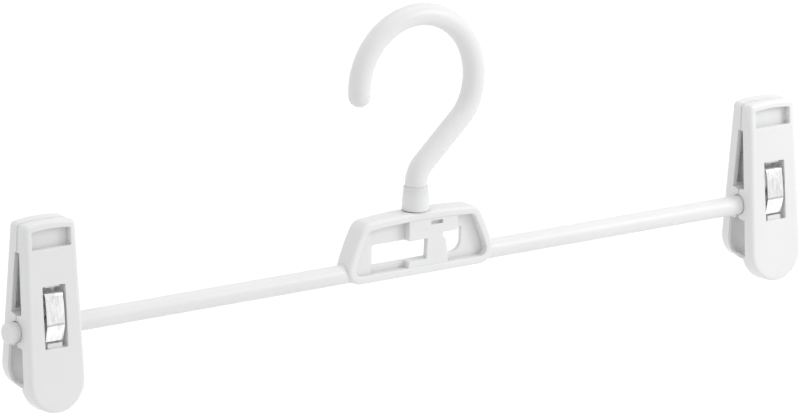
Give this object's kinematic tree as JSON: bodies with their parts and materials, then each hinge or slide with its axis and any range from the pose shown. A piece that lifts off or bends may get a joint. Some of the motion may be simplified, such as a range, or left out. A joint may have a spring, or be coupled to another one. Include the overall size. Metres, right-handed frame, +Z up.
{
  "type": "skirt hanger",
  "caption": "Plastic skirt hanger with a turning hook, a small centre frame, a round bar and sliding two-jaw clips held by steel band springs.",
  "frame": {"origin": "inside top of the hook, where the rail carries it, on the axis the hook turns about", "axes": "+X along the bar to the right, +Y to the back, +Z up along the hook's stem"},
  "size_m": [0.37, 0.0233, 0.1329],
  "materials": {
    "white_plastic": "moulded white plastic with a soft satin gloss",
    "spring_steel": "bright rolled spring strip"
  },
  "bodies": {
    "hook": {"hook": "white_plastic", "hook_collar": "white_plastic", "hook_retainer": "white_plastic"},
    "hanger_body": {"hanger_body": "white_plastic"},
    "left_clip_spring": {"left_band_spring": "spring_steel"},
    "left_front_jaw": {"left_front_jaw": "white_plastic"},
    "left_rear_jaw": {"left_rear_jaw": "white_plastic"},
    "right_clip_spring": {"right_band_spring": "spring_steel"},
    "right_front_jaw": {"right_front_jaw": "white_plastic"},
    "right_rear_jaw": {"right_rear_jaw": "white_plastic"}
  },
  "joints": [
    {"name": "hook_swivel", "type": "hinge", "parent": "hook", "child": "hanger_body", "pos_m": [0, 0, -0.0934], "axis": [0, 0, 1], "continuous": true},
    {"name": "left_clip_slide", "type": "slide", "parent": "hanger_body", "child": "left_clip_spring", "axis": [1, 0, 0], "range_m": [-0.0011, 0.1222]},
    {"name": "left_front_jaw_close", "type": "hinge", "parent": "left_clip_spring", "child": "left_front_jaw", "pos_m": [-0.1685, 0, -0.0934], "axis": [1, 0, 0], "range_deg": [0, 10.5]},
    {"name": "left_rear_jaw_close", "type": "hinge", "parent": "left_clip_spring", "child": "left_rear_jaw", "pos_m": [-0.1685, 0, -0.0934], "axis": [1, 0, 0], "range_deg": [-10.5, 0]},
    {"name": "right_clip_slide", "type": "slide", "parent": "hanger_body", "child": "right_clip_spring", "axis": [-1, 0, 0], "range_m": [-0.0011, 0.1222]},
    {"name": "right_front_jaw_close", "type": "hinge", "parent": "right_clip_spring", "child": "right_front_jaw", "pos_m": [0.1685, 0, -0.0934], "axis": [1, 0, 0], "range_deg": [0, 10.5]},
    {"name": "right_rear_jaw_close", "type": "hinge", "parent": "right_clip_spring", "child": "right_rear_jaw", "pos_m": [0.1685, 0, -0.0934], "axis": [1, 0, 0], "range_deg": [-10.5, 0]}
  ],
  "couplings": [
    {"joint": "left_rear_jaw_close", "follows": "left_front_jaw_close", "ratio": -1},
    {"joint": "right_rear_jaw_close", "follows": "right_front_jaw_close", "ratio": -1}
  ]
}
